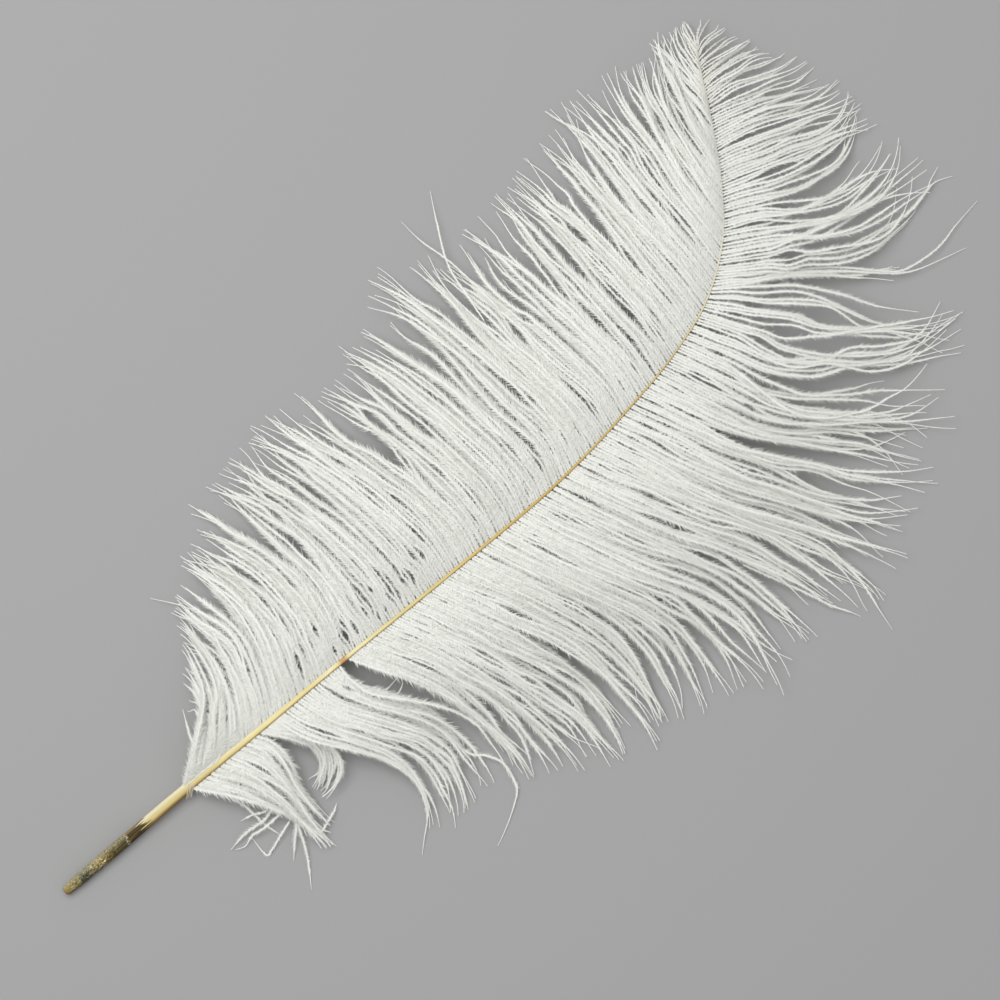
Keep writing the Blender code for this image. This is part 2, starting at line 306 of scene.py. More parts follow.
def openSlits(vane, roots, distance):
    # Sideways pushes that part neighbouring barbs and let them close again, and how much of its reach
    # is left to the barbules on both sides of each barb
    count = len(roots)
    opened = []
    for place, middle, half, width in vane["gaps"]:
        if roots[0] < place < roots[-1]:
            opened.append((np.searchsorted(roots, place), middle, half, width))
    share = (roots[-1] - roots[0]) / slits["countedOver"]
    for slit in range(int(vane["slits"] * share)):
        seam = chance.integers(1, count)
        middle = distance[seam, -1] * pick(slits["out"])**slits["outPower"]
        half = pick(slits["half"])
        width = min(slits["width"] + chance.exponential(slits["wider"]), half * slits["steepest"])
        width *= slits["widthIn"] + slits["widthOut"] * middle / distance[seam, -1]
        opened.append((seam, middle, half, width))
    for start, end, number, widest in vane["rootSlits"]:
        for place in chance.uniform(start, end, number):
            if roots[0] < place < roots[-1]:
                half = pick(slits["rootHalf"])
                middle = half + pick(slits["rootOut"])
                width = pick(slits["rootWidth"]) * widest
                opened.append((np.searchsorted(roots, place), middle, half, width))
    push = np.zeros(distance.shape)
    left = np.ones((*distance.shape, 2))
    for seam, middle, half, width in opened:
        near = slice(max(0, seam - slits["neighbours"]), min(count, seam + slits["neighbours"]))
        away = np.arange(count)[near, None] - seam + 0.5
        lens = np.cos(np.clip((distance[near] - middle) / half, -1, 1) * math.pi / 2)**2
        fade = np.exp(-(np.abs(away) - 0.5) / pick(slits["fade"]))
        push[near] += np.sign(away) * width / 2 * fade * lens
        ahead, behind = (0, 1) if vane["side"] > 0 else (1, 0)
        for barb, edge in ((seam - 1, behind), (seam, ahead)):
            lens = np.cos(np.clip((distance[barb] - middle) / half, -1, 1) * math.pi / 2)
            left[barb, :, edge] = np.minimum(left[barb, :, edge], 1 - slits["snug"] * lens)
    return push, left


def growRoutes(stations, vane):
    # The routes of a stretch's barbs, as barbs by steps by places
    side = vane["side"]
    stations = np.array(stations, float)
    count = int((stations[-1, 0] - stations[0, 0]) / barbs["spacing"])
    roots = np.linspace(stations[0, 0], stations[-1, 0], count) + chance.normal(0, barbs["jitter"], count)
    values = between(roots, stations[:, 0], stations[:, 1:])
    strands = numberOff(count, *barbs["inStrand"])
    locks = numberOff(count, *barbs["inLock"])
    times = np.linspace(0, 1, barbs["steps"])[None]

    def strandAndBarb(byStrand, byBarb):
        return eachGroup(strands, byStrand) + chance.normal(0, byBarb, (count, 1))

    byLock, byStrand, byBarb = barbs["uneven"]
    length = values[:, :1] * (1 + eachGroup(locks, byLock) + eachGroup(strands, byStrand))
    length *= 1 - np.abs(chance.normal(0, byBarb, (count, 1)))
    worn = chance.random((count, 1)) < barbs["worn"]
    length *= np.where(worn, pick(barbs["wornTo"], (count, 1)), 1)
    early = endings.random(count) < table(vane["early"], roots)
    length *= np.where(early, endings.uniform(*barbs["earlyTo"], count), 1)[:, None]
    distance = length * times

    quarter = np.minimum((times * 4).astype(int), 3)
    share = times * 4 - quarter
    heading = np.take_along_axis(values, 1 + quarter.repeat(count, 0), 1) * (1 - share)
    heading += np.take_along_axis(values, 2 + quarter.repeat(count, 0), 1) * share
    loose = table(vane["loose"], roots)[:, None]
    turn, low, high = barbs["lockTurn"]
    heading += eachGroup(locks, turn) * smoothStep(low, high, times)
    for byStrand, byBarb, low, high in barbs["turns"]:
        heading += strandAndBarb(byStrand, byBarb) * smoothStep(low, high, times) * loose
    byStrand, byBarb, low, high = barbs["looseTurn"]
    wave = np.sin(times * barbs["looseWave"])
    heading += strandAndBarb(byStrand, byBarb) * (loose - 1) * wave * smoothStep(low, high, times)
    heading = np.radians(heading)

    place, ahead, radius = onShaft(roots)
    over = smoothStep(*barbs["overTip"], roots) * (side > 0)
    sideways = np.stack([-ahead[:, 1], ahead[:, 0], np.zeros(count)], axis=-1) * side
    aside, above = vane["root"]
    start = place + sideways * (radius * (aside - barbs["overAside"] * over))[:, None]
    start[:, 2] += radius * (above + barbs["overAbove"] * over)
    step = length / (barbs["steps"] - 1)
    runs = np.stack([np.cos(heading), np.sin(heading)], axis=-1)[:, :-1] * step[..., None]
    routes = np.zeros((count, barbs["steps"], 3))
    routes[..., :2] = start[:, None, :2]
    routes[:, 1:, :2] += np.cumsum(runs, axis=1)

    arch = np.minimum(barbs["archHeight"], barbs["archShare"] * length)
    byStrand, byBarb, least = barbs["tipHeight"]
    tipHeight = np.abs(strandAndBarb(byStrand, byBarb)) + least
    first = start[:, 2:] + arch + eachGroup(locks, barbs["archVary"]) + eachGroup(strands, barbs["archVary"])
    second = tipHeight * (1 + barbs["landing"]) + barbs["archEnd"] * arch
    t = times
    routes[..., 2] = (start[:, 2:] * (1 - t)**3 + first * 3 * (1 - t)**2 * t
                      + second * 3 * (1 - t) * t**2 + tipHeight * t**3)

    amount, low, high = barbs["splay"]
    held = (1 - amount * smoothStep(low, high, times)) / loose
    amount, low, high = barbs["tipSplay"]
    held *= 1 - amount * smoothStep(low, high, roots)[:, None]
    for groups, closing, hold in (
        (locks, barbs["lockCloses"], vane["lockHold"]), (strands, barbs["strandCloses"], vane["strandHold"]),
    ):
        closes = pick(closing, groups.max() + 1)[groups][:, None]
        holds = pick(hold, groups.max() + 1)[groups][:, None]
        weight = smoothStep(closes, closes + barbs["closeOver"], times) * holds * held
        routes = gather(routes, groups, weight)

    run = np.gradient(routes, axis=1)
    across = unit(np.stack([-run[..., 1], run[..., 0], np.zeros(run.shape[:2])], axis=-1))
    shift = wander(count, distance, *barbs["barbSway"])
    shift += wander(strands.max() + 1, distance.mean(0), *barbs["strandSway"])[strands]
    shift *= smoothStep(*barbs["swayFrom"], distance)
    push, left = openSlits(vane, roots, distance)
    shift += push * -side * smoothStep(*slits["from"], distance)
    routes += across * shift[..., None]
    sway = wander(count, distance, *barbs["heightSway"])
    routes[..., 2] += sway * smoothStep(*barbs["heightFrom"], distance)
    least, vary = barbs["lowest"]
    routes[..., 2] = np.maximum(routes[..., 2], least + np.abs(chance.normal(0, vary, (count, 1))))
    return roots, routes, left


barbules = {
    "segment": 0.31,  # of a barb, with four barbules
    "reach": [(0, 0.5), (0.05, 1), (0.35, 1.15), (0.6, 1), (0.8, 0.8), (0.93, 0.55), (1, 0.3)],
    "reachVary": (0.85, 1.15),
    "short": (0.5, 0.95), "long": (1.2, 2.1),  # their lengths, as shares of the reach
    "longShare": 0.27,
    "sweep": [(0, 50), (0.4, 40), (0.75, 32), (1, 26)],  # from the barb's own direction
    "sweepVary": (0.7, 1.3),
    "tilts": (0.3, -0.3), "tiltVary": 0.25,  # rise of the upper and the lower ones
    "lowest": 0.05,
    # A bare tip's least share of a barb, and its most, as so many times the usual one and so much over it,
    # how much shorter its barbules are, and how they get there
    "bareLeast": 0.01, "bareMost": (2.2, 0.02), "bareLoss": 0.8, "bareFade": (0.88, 1.04),
    "astray": 0.2,  # share of those that cross a slit all the same
    "tone": (0.45, 0.8), "toneVary": 0.33,  # from grey to white
    "tipDim": 0.2, "stemPaintedShade": 0.3,  # how much darker the tip is, and how much painted shade darkens the stem
    "tipDims": (0.5, 1), "stemShadeFades": (0.6, 0.95),  # over these shares of the barb the tip darkens and the stem's painted shade fades out
    "lanes": (0.1, 0.48),  # halves of the stem and of a barb in its strip of the texture
}


def evenly(route, segment):
    # The same route, laid out in segments of one length
    distance = distanceAlong(route)
    count = max(6, round(distance[-1] / segment))
    return between(np.linspace(0, distance[-1], count + 1), distance, route)


def featheredBarb(route, fluff, bare, left):
    # A barb's corners, triangles, places along and across it, and tones: a flat stem, and on each segment
    # of its two edges an upper and a lower barbule that sweep forward
    path = evenly(route, barbules["segment"])
    count = len(path)
    along = np.linspace(0, 1, count)
    ahead = unit(np.gradient(path, axis=0))
    right, up = sidesOf(ahead)
    half = table(barbs["stem"], along)[:, None]
    own = pick(barbules["tone"])
    dim = barbules["tipDim"] * smoothStep(*barbules["tipDims"], along)
    # Painted shade: the stem is painted darker, most near the root, so that it looks no brighter than the
    # barbules beside it, which lie partly in shade
    stemPaintedShade = barbules["stemPaintedShade"] * (1 - smoothStep(*barbules["stemShadeFades"], along))
    stemLane, edgeLane = barbules["lanes"]
    corners = [path - right * half, path + right * half]
    lanes = [np.full(count, -stemLane), np.full(count, stemLane)]
    runs = [along, along]
    tones = [own - stemPaintedShade - dim, own - stemPaintedShade - dim]
    step = np.arange(count - 1)
    triangles = [np.stack([step, step + count, step + 1], axis=1),
                 np.stack([step + 1, step + count, step + count + 1], axis=1)]
    made = 2 * count
    middle = (along[:-1] + along[1:]) / 2
    times, more = barbules["bareMost"]
    bare = chance.triangular(barbules["bareLeast"], bare, times * bare + more)
    reach = table(barbules["reach"], middle) * fluff * pick(barbules["reachVary"])
    low, high = barbules["bareFade"]
    reach *= 1 - barbules["bareLoss"] * smoothStep(low - bare, high - bare, middle)
    steps = np.linspace(0, 1, len(left))
    sweep = np.radians(table(barbules["sweep"], middle))
    for edge, way in ((0, -1), (1, 1)):
        foot = (corners[edge][:-1] + corners[edge][1:]) / 2
        for tilt in barbules["tilts"]:
            out = reach * np.where(chance.random(count - 1) < barbules["longShare"],
                                   pick(barbules["long"], count - 1),
                                   pick(barbules["short"], count - 1))
            astray = chance.random(count - 1) < barbules["astray"]
            out *= np.where(astray, 1, np.interp(middle, steps, left[:, edge]))
            lean = sweep * pick(barbules["sweepVary"], count - 1)
            rise = out * (tilt + chance.normal(0, barbules["tiltVary"], count - 1))
            tips = (foot + right[:-1] * (way * out)[:, None] + ahead[:-1] * (out / np.tan(lean))[:, None]
                    + up[:-1] * rise[:, None])
            tips[:, 2] = np.maximum(tips[:, 2], barbules["lowest"])
            corners.append(tips)
            lanes.append(np.full(count - 1, edgeLane * way))
            runs.append(middle)
            tones.append(np.clip(own + chance.normal(0, barbules["toneVary"], count - 1) - dim[:-1], 0, 1))
            low, high = edge * count + step, edge * count + step + 1
            ends = made + step
            triangles.append(np.stack([low, high, ends] if way < 0 else [high, low, ends], axis=1))
            made += count - 1
    return [np.concatenate(part) for part in (corners, triangles, runs, lanes, tones)]


def addObject(name, data):
    item = bpy.data.objects.new(name, data)
    bpy.context.scene.collection.objects.link(item)
    return item


def buildPiece(name, corners, triangles, places, attributes, material):
    # Places are in the texture, one for each corner of each triangle
    mesh = bpy.data.meshes.new(name)
    mesh.from_pydata(((corners + quillEnd) * mm).tolist(), [], triangles.tolist())
    layer = mesh.uv_layers.new(name="OFBake")
    layer.data.foreach_set("uv", places.astype(np.float32).ravel())
    for title, values in attributes.items():
        kind, field = ("FLOAT", "value") if values.ndim == 1 else ("FLOAT_VECTOR", "vector")
        attribute = mesh.attributes.new(title, kind, "POINT")
        attribute.data.foreach_set(field, values.astype(np.float32).ravel())
    mesh.materials.append(material)
    piece = addObject(name, mesh)
    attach(piece, "root")
    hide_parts("feather")
    print(name, len(triangles), "triangles")
    return piece


def buildBarbs(name, grown, material):
    # One piece from many barbs, each laid in its own strip of the texture and with its own streaks
    columns = [], [], [], [], [], []
    made = 0
    for number, (root, route, fluff, bare, left, cream) in enumerate(grown):
        spots, faces, along, lane, tone = featheredBarb(route, fluff, bare, left)
        strip = np.stack([(number + 0.5 + lane) / len(grown), along], axis=1)
        length = np.linalg.norm(route[-1] - route[0])
        across = lane * 2 + number * barbs["streaksApart"]
        grain = np.stack([across, np.full(len(lane), root), along * length], axis=1)
        creams = cream * (1 - smoothStep(*barbs["creamEnd"], along * length))
        for column, part in zip(columns, (spots, faces + made, strip[faces.ravel()], tone, grain, creams)):
            column.append(part)
        made += len(spots)
    corners, triangles, places, tones, grains, creams = (np.concatenate(column) for column in columns)
    buildPiece(name, corners, triangles, places, {"tone": tones, "grain": grains, "cream": creams}, material)


def buildVane(vane, material):
    grown = []
    for stations in vane["stretches"]:
        for root, route, left in zip(*growRoutes(stations, vane)):
            fluff, bare = table(vane["fluff"], root), table(vane["bare"], root)
            grown.append((root, route, fluff, bare, left, smoothStep(*barbs["cream"], root)))
    starts = [start for name, start in vane["pieces"]] + [math.inf]
    for (name, start), end in zip(vane["pieces"], starts[1:]):
        buildBarbs(name, [barb for barb in grown if start <= barb[0] < end], material)


# Single barbs that stray from the rest: the reach of their barbules, and places along, across and in height
strays = [
    (0.45, [(69, -20, 4.5), (63, -22.2, 3), (55, -21.8, 2), (48, -22.9, 0.8)]),
    (0.4, [(68, -24, 4), (60.5, -24.2, 3), (56, -23.7, 2), (52.5, -24.9, 1), (49.3, -23.9, 0.6)]),
    (0.4, [(68.2, -27.7, 3), (63.2, -29.3, 2), (58, -31.2, 1), (55.6, -31.1, 0.8), (55.6, -24.2, 0.6)]),
    (0.45, [(58.5, -10, 4), (60.3, -14.6, 3), (61, -19.6, 2), (61.6, -24.3, 1), (63.2, -29.3, 0.5)]),
    (0.4, [(68, -18, 4.5), (64.8, -20.4, 3.5), (60.2, -18.6, 2.5), (56.3, -17.9, 1.5)]),
    (0.5, [(71, -27, 4), (69.1, -30, 3), (65, -34, 1.5), (61.2, -38.2, 0.5)]),
    (0.45, [(71, -28, 4), (68.9, -31.9, 3), (66.9, -36.8, 2), (64, -42.2, 1), (59.7, -48.8, 0.4)]),
    (0.4, [(72.5, -36.8, 3), (74.5, -36.5, 2.4), (77.8, -35.4, 2), (81, -34.2, 1.4), (83.2, -32.8, 0.8)]),
    (0.5, [(74, -8, 6.5), (77.3, -15.2, 5), (77.9, -25.8, 3), (78.4, -33.6, 1.5), (78.8, -37.2, 0.5)]),
    (0.35, [(58.2, 1.8, 4.5), (60.5, 11, 5), (64.7, 21, 3)]),
    (0.45, [(77.4, 0.8, 6), (86.4, 27.6, 8), (87.5, 42, 4), (79, 54.6, 1)]),
    (0.6, [
        (117, -22, 8), (122.4, -36.8, 5), (125.8, -47.4, 3), (129.3, -51.1, 2.5), (131.9, -56.5, 2),
        (131.1, -62.8, 1.5), (129.5, -66.3, 1.2), (123.4, -70.7, 0.8), (117.4, -74, 0.6), (114, -75.6, 0.4),
    ]),
    (0.55, [
        (100, -22, 7), (106, -34.3, 5), (107.7, -40.6, 4), (106.9, -45.7, 3), (105.1, -50.3, 2),
        (102.4, -54.6, 1.5), (97.6, -58.9, 1), (93.7, -62.6, 0.4),
    ]),
    (0.22, [(216, 55, 9), (216.8, 62.9, 8), (218.5, 75.9, 5), (224.6, 89.2, 3), (229.1, 97.7, 1)]),
    (0.22, [(222, 55, 9), (221.2, 63.4, 8), (219.6, 76.2, 5), (216.7, 87.5, 3), (215.9, 96, 1)]),
    (0.15, [(112.8, -14.6, 7), (118.3, -15, 7.5), (122.9, -14.4, 7)]),
    (0.15, [(115, -18.5, 7), (121, -18.1, 7.5), (124, -16.5, 7)]),
    (0.35, [
        (285.5, 18.5, 10.5), (291, 12.4, 10.5), (302.2, 4.9, 9), (313.1, -3.2, 7), (323.3, -12.9, 4.5),
        (328.3, -16.6, 3.5), (335.9, -18, 2.8), (342.8, -18, 2.2), (350.3, -16.3, 1.6), (360.5, -14.7, 0.6),
    ]),
    (0.35, [
        (285, 17.5, 10.5), (290.5, 11.4, 10.5), (301.5, 3.9, 9), (312.5, -4.2, 7), (323.5, -14, 4.5),
        (329, -18, 3.2), (334.1, -20.1, 2.4), (341, -22, 1.5), (348.4, -23.9, 0.6),
    ]),
    (0.35, [(320, 0, 6), (339.6, -3.6, 3), (349.3, -2.2, 2), (353.3, -0.2, 1.5), (357.7, 1.5, 1)]),
    (0.35, [(320, -1, 5), (337.4, -3.8, 3), (349.3, -2.2, 2), (354.2, -1.7, 1.2), (359.5, -3.7, 0.6)]),
    (0.45, [
        (246, -58, 8), (254.6, -74.4, 4), (255.5, -84.9, 2.5), (254.4, -94.6, 1.5), (253.7, -102.2, 0.5),
    ]),
    (0.45, [(230, -56, 8), (238.9, -73.7, 4), (243.2, -83.3, 2.5), (246.7, -89, 1.5), (248.6, -92.7, 0.6)]),
]
brownHairs = [  # these cross the shaft under the first barbs
    (0.12, [(52.4, 1.4, 5.6), (51, 0.5, 5.55), (49.8, -0.5, 5), (48.9, -1.3, 3.9), (48.4, -1.9, 3.3)]),
    (0.12, [(51.6, 1.7, 5.6), (50.4, 0.7, 5.6), (49.2, -0.3, 5.1), (48.2, -1.2, 3.9), (47.6, -1.7, 3.4)]),
    (0.1, [(53.6, 1.2, 5.6), (52.2, 0.2, 5.5), (50.9, -0.7, 4.8), (49.9, -1.5, 3.8), (49.2, -2.3, 3)]),
    (0.1, [(52, 0.9, 5.6), (51, 0.1, 5.5), (50.1, -0.9, 4.6), (49.4, -1.6, 3.6), (49, -2.1, 3.1)]),
]


veil = {  # short barbs over the shaft's left edge
    "from": 48.6, "to": 62, "count": 16,
    "route": [(0, 1, 5.6), (3, 2.5, 5.3), (7, 4.6, 6.1)],  # from the root on
    "aside": 1.3, "vary": (-0.3, 0.2), "droop": 0.5,  # the root's place on the shaft
    "inward": 0.06, "climb": 0.08,  # for each mm up the shaft
    "fluff": (0.1, 0.24),
}
single = {"steps": 8, "bare": 0.15, "streaksFrom": 60}  # for all single barbs


def buildStrays(material):
    whole = np.ones((2, 2))  # no slit beside them
    grown = []
    for number, (fluff, places) in enumerate(strays + brownHairs):
        cream = barbs["brown"] if number >= len(strays) else 0
        route = smoothRoute(places, single["steps"])
        grown.append((single["streaksFrom"] + number, route, fluff, single["bare"], whole, cream))
    for at in np.linspace(veil["from"], veil["to"], veil["count"]):
        aside = veil["aside"] - (at - veil["from"]) * veil["inward"] + pick(veil["vary"])
        over = (at - veil["from"]) * veil["climb"]
        places = np.array([(at + along, across, height + over) for along, across, height in veil["route"]])
        places[0] += (0, aside, -veil["droop"] * aside**2)
        route = smoothRoute(places, single["steps"])
        grown.append((at, route, pick(veil["fluff"]), single["bare"], whole, 0))
    buildBarbs("stray_barbs", grown, material)


grainRadius = 1.5  # of the tube that the shaft's streaks are drawn on

flakes = {
    "count": 420,
    "from": 4.6, "densest": 13.5, "to": 21,  # along the quill
    "size": (0.16, 0.5),
    "corner": (0.5, 1), "skew": 0.35,  # how far out the corners are, in sizes, and how far off square
    "lift": (0.1, 0.5),  # of the loose edge, in sizes
    "sunk": 0.06,  # depth of the other edge in the sheath
    "pale": (0.3, 1),
}


def grainOn(angle, distance):
    # Where the shaft's streaks are drawn
    return np.stack([np.cos(angle) * grainRadius, np.sin(angle) * grainRadius, distance], axis=1)


def layFlakes():
    # Chips of dry skin with one edge on the sheath and the other standing off it, four corners each
    count = flakes["count"]
    distance = chance.triangular(flakes["from"], flakes["densest"], flakes["to"], count)
    angle = chance.uniform(0, 2 * math.pi, count)
    place, ahead, radius = onShaft(distance)
    right, up = sidesOf(ahead)
    out = right * np.sin(angle)[:, None] - up * np.cos(angle)[:, None]
    around = np.cross(out, ahead)
    size = pick(flakes["size"], count)
    turn = chance.uniform(0, 2 * math.pi, count)
    corners = []
    for corner in range(4):
        towards = turn + (corner + chance.uniform(-flakes["skew"], flakes["skew"], count)) * math.pi / 2
        reach = size * pick(flakes["corner"], count)
        lift = size * pick(flakes["lift"], count) if corner > 1 else -flakes["sunk"]
        spot = place + out * (radius + lift)[:, None]
        spot += ahead * (np.cos(towards) * reach)[:, None] + around * (np.sin(towards) * reach)[:, None]
        corners.append(spot)
    pale = pick(flakes["pale"], count).repeat(4)
    return np.stack(corners, axis=1).reshape(-1, 3), grainOn(angle, distance).repeat(4, 0), pale


def shaftRings(distance):
    # The corners of the rings around the shaft, from underneath round to the right
    place, ahead, radius = onShaft(distance)
    place -= ahead * (shaft["foot"] * (1 - smoothStep(0, shaft["footEnd"], distance)))[:, None]
    right, up = sidesOf(ahead)
    turn = np.linspace(0, 2 * math.pi, shaft["sides"], endpoint=False)
    wide, tall = shaft["crustGrain"]
    corners = []
    for ring, at in enumerate(distance):
        size = radius[ring] * table(shaft["nub"], at)
        bare = smoothStep(shaft["sheathEnd"], shaft["sheathEnd"] + shaft["sheathEdge"], at)
        crust = table(shaft["crust"], at) * (1 - bare)
        knot = math.exp(-((at - shaft["knotAt"]) / shaft["knotLength"])**2) * shaft["knotHeight"]
        lip = math.exp(-((at - shaft["sheathEnd"]) / shaft["lipWidth"])**2) * shaft["lip"]
        ridges = shaft["ridge"] * math.sin(at * 2 * math.pi / shaft["ridgeSpacing"]) * bare
        furrow = shaft["furrow"] * smoothStep(*shaft["furrowFrom"], at)
        for angle in turn:
            spot = Vector((math.cos(angle) * wide, math.sin(angle) * wide, at * tall))
            rough = sum(noise.noise(spot * scale) * strength for scale, strength in shaft["crustLayers"])
            under = min(angle, 2 * math.pi - angle)
            out = size * (1 - furrow * math.exp(-(under / shaft["furrowWidth"])**2))
            out += crust * rough + knot + lip + ridges
            aside, below = right[ring] * math.sin(angle) * out, up[ring] * math.cos(angle) * out
            corners.append(place[ring] + aside - below)
    corners.append(place[0] - ahead[0] * shaft["footCap"])
    corners.append(place[-1] + ahead[-1] * shaft["tipCap"])
    return corners, grainOn(np.tile(turn, len(distance)), np.repeat(distance, shaft["sides"]))


def buildShaft(material):
    # A tube with a rounded nub and a crusty sheath at its foot, fine cross ridges and a furrow underneath
    fineEnd = shaft["sheathEnd"] + shaft["finePast"]
    distance = np.concatenate([
        np.arange(0, fineEnd, shaft["quillRings"]), np.arange(fineEnd, shaftLength, shaft["shaftRings"]),
    ])
    rings, sides = len(distance), shaft["sides"]
    corners, grain = shaftRings(distance)

    # The texture holds the shaft in lengths, side by side, and the flakes in a strip beside them
    lengths, margin, end = 6, 0.04, 0.02  # margins as shares of a length
    chipMargin, near, far = 0.06, 0.2, 0.8  # and where a flake's corners are in its own field
    cut = np.minimum(distance / shaftLength * lengths, lengths - 1e-6)
    triangles, places = [], []

    def spotIn(ring, side, strip):
        across = strip + margin + (1 - 2 * margin) * side / sides
        return across / (lengths + 1), (cut[ring] - strip) * (1 - 2 * end) + end

    def addQuad(a, b, c, d, spots):
        triangles.extend([(a, b, c), (a, c, d)])
        places.extend(spots[k] for k in (0, 1, 2, 0, 2, 3))

    for ring in range(rings - 1):
        strip = int(cut[ring])
        for side in range(sides):
            a, b = ring * sides + side, ring * sides + (side + 1) % sides
            spots = [spotIn(ring + up, side + over, strip) for up, over in ((0, 0), (0, 1), (1, 1), (1, 0))]
            addQuad(a, b, b + sides, a + sides, spots)
    foot, top, last = rings * sides, rings * sides + 1, (rings - 1) * sides
    footSpot, topSpot = (0.07, 0), (0.78, 1)
    for side in range(sides):
        triangles.append((foot, (side + 1) % sides, side))
        places += [footSpot, spotIn(0, side + 1, 0), spotIn(0, side, 0)]
        triangles.append((top, last + side, last + (side + 1) % sides))
        places += [topSpot] + [spotIn(rings - 1, side + over, lengths - 1) for over in (0, 1)]

    chips, chipGrain, pale = layFlakes()
    columns, wide = 10, 1 - 2 * chipMargin
    rows = math.ceil(len(chips) / 4 / columns)
    for chip in range(len(chips) // 4):
        first = rings * sides + 2 + chip * 4
        column, row = chip % columns, chip // columns
        spots = [
            ((lengths + chipMargin + wide * (column + x) / columns) / (lengths + 1), (row + y) / rows)
            for x, y in ((near, near), (far, near), (far, far), (near, far))
        ]
        addQuad(*range(first, first + 4), spots)
    corners = np.concatenate([corners, chips])
    corners[:, 2] = np.maximum(corners[:, 2], 0.02)  # clear of the floor
    attributes = {
        "grain": np.concatenate([grain, [[0, 0, 0], [0, 0, shaftLength]], chipGrain]),
        "flake": np.concatenate([np.zeros(rings * sides + 2), pale]),
    }
    piece = buildPiece("shaft", corners, np.array(triangles), np.array(places), attributes, material)
    piece.data.shade_smooth()


def newMaterial(name):
    material = bpy.data.materials.new(name)
    material.use_nodes = True
    tree = material.node_tree
    return material, tree.nodes, tree.links, tree.nodes["Principled BSDF"]


def addNode(nodes, kind, **settings):
    node = nodes.new(kind)
    for name, value in settings.items():
        setattr(node, name, value)
    return node


def addRamp(nodes, links, source, stops, kind="EASE"):
    ramp = nodes.new("ShaderNodeValToRGB")
    links.new(source, ramp.inputs["Fac"])
    ramp.color_ramp.interpolation = kind
    elements = ramp.color_ramp.elements
    while len(elements) < len(stops):
        elements.new(0.5)
    for element, (at, colour) in zip(elements, stops):
        element.position = at
        element.color = (*colour, 1)
    return ramp.outputs["Color"]


def makeStreaks():
    # Streaks that run along a barb or the shaft, from the "grain" attribute: a value and a normal
    group = bpy.data.node_groups.new("streaks", "ShaderNodeTree")
    face = group.interface
    for name, value in (("Across", 2), ("Along", 0.3), ("Detail", 3), ("Depth", 0.3)):
        face.new_socket(name, in_out="INPUT", socket_type="NodeSocketFloat").default_value = value
    face.new_socket("Value", in_out="OUTPUT", socket_type="NodeSocketFloat")
    face.new_socket("Normal", in_out="OUTPUT", socket_type="NodeSocketVector")
    nodes, links = group.nodes, group.links
    given = nodes.new("NodeGroupInput")
    result = nodes.new("NodeGroupOutput")
    grain = addNode(nodes, "ShaderNodeAttribute", attribute_name="grain")
    scale = nodes.new("ShaderNodeCombineXYZ")
    for socket, source in (("X", "Across"), ("Y", "Across"), ("Z", "Along")):
        links.new(given.outputs[source], scale.inputs[socket])
    stretched = addNode(nodes, "ShaderNodeVectorMath", operation="MULTIPLY")
    pattern = nodes.new("ShaderNodeTexNoise")
    pattern.inputs["Scale"].default_value = 1
    pattern.inputs["Roughness"].default_value = 0.6
    bump = nodes.new("ShaderNodeBump")
    bump.inputs["Distance"].default_value = 0.06 * mm
    for source, name, target, socket in (
        (grain, "Vector", stretched, 0), (scale, "Vector", stretched, 1),
        (stretched, "Vector", pattern, "Vector"), (given, "Detail", pattern, "Detail"),
        (given, "Depth", bump, "Strength"), (pattern, "Fac", bump, "Height"),
        (pattern, "Fac", result, "Value"), (bump, "Normal", result, "Normal"),
    ):
        links.new(source.outputs[name], target.inputs[socket])
    return group


def useStreaks(nodes, group, across, along, detail, depth):
    node = nodes.new("ShaderNodeGroup")
    node.node_tree = group
    for name, value in (("Across", across), ("Along", along), ("Detail", detail), ("Depth", depth)):
        node.inputs[name].default_value = value
    return node.outputs["Value"], node.outputs["Normal"]


def addMix(nodes, links, share, first, second, kind="MIX"):
    # Mixes two colours, each of them a socket or a constant
    node = addNode(nodes, "ShaderNodeMix", data_type="RGBA", blend_type=kind)
    for socket, source in ((node.inputs[0], share), (node.inputs[6], first), (node.inputs[7], second)):
        if isinstance(source, bpy.types.NodeSocket):
            links.new(source, socket)
        elif isinstance(source, tuple):
            socket.default_value = (*source, 1)
        else:
            socket.default_value = source
    return node.outputs[2]


def addSpread(nodes, links, source, low, high, toLow, toHigh):
    node = nodes.new("ShaderNodeMapRange")
    node.interpolation_type = "SMOOTHSTEP"
    for name, value in (("From Min", low), ("From Max", high), ("To Min", toLow), ("To Max", toHigh)):
        node.inputs[name].default_value = value
    links.new(source, node.inputs["Value"])
    return node.outputs["Result"]


# Colours of the barbs, from the darkest tone to the palest
barbTones = [
    (0, (0.78, 0.785, 0.73)), (0.35, (0.87, 0.875, 0.825)), (0.7, (0.925, 0.93, 0.885)),
    (1, (0.955, 0.955, 0.92)),
]
hairBrown = (0.62, 0.53, 0.36)


def makeBarbMaterial(streaks):
    material, nodes, links, shader = newMaterial("white_barbs")
    tone = addNode(nodes, "ShaderNodeAttribute", attribute_name="tone")
    cream = addNode(nodes, "ShaderNodeAttribute", attribute_name="cream")
    colour = addRamp(nodes, links, tone.outputs["Fac"], barbTones, "LINEAR")
    fine, normal = useStreaks(nodes, streaks, 6, 0.35, 3, 0.35)
    shade = addSpread(nodes, links, fine, 0.3, 0.7, 0.92, 1)
    colour = addMix(nodes, links, 1, colour, shade, "MULTIPLY")
    warm = addSpread(nodes, links, cream.outputs["Fac"], 0, barbs["brown"], 0, 0.95)
    colour = addMix(nodes, links, warm, colour, hairBrown)
    links.new(colour, shader.inputs["Base Color"])
    silk = addSpread(nodes, links, fine, 0.3, 0.7, 0.78, 0.6)
    links.new(silk, shader.inputs["Roughness"])
    links.new(normal, shader.inputs["Normal"])
    shader.inputs["Specular IOR Level"].default_value = 0.3
    return material


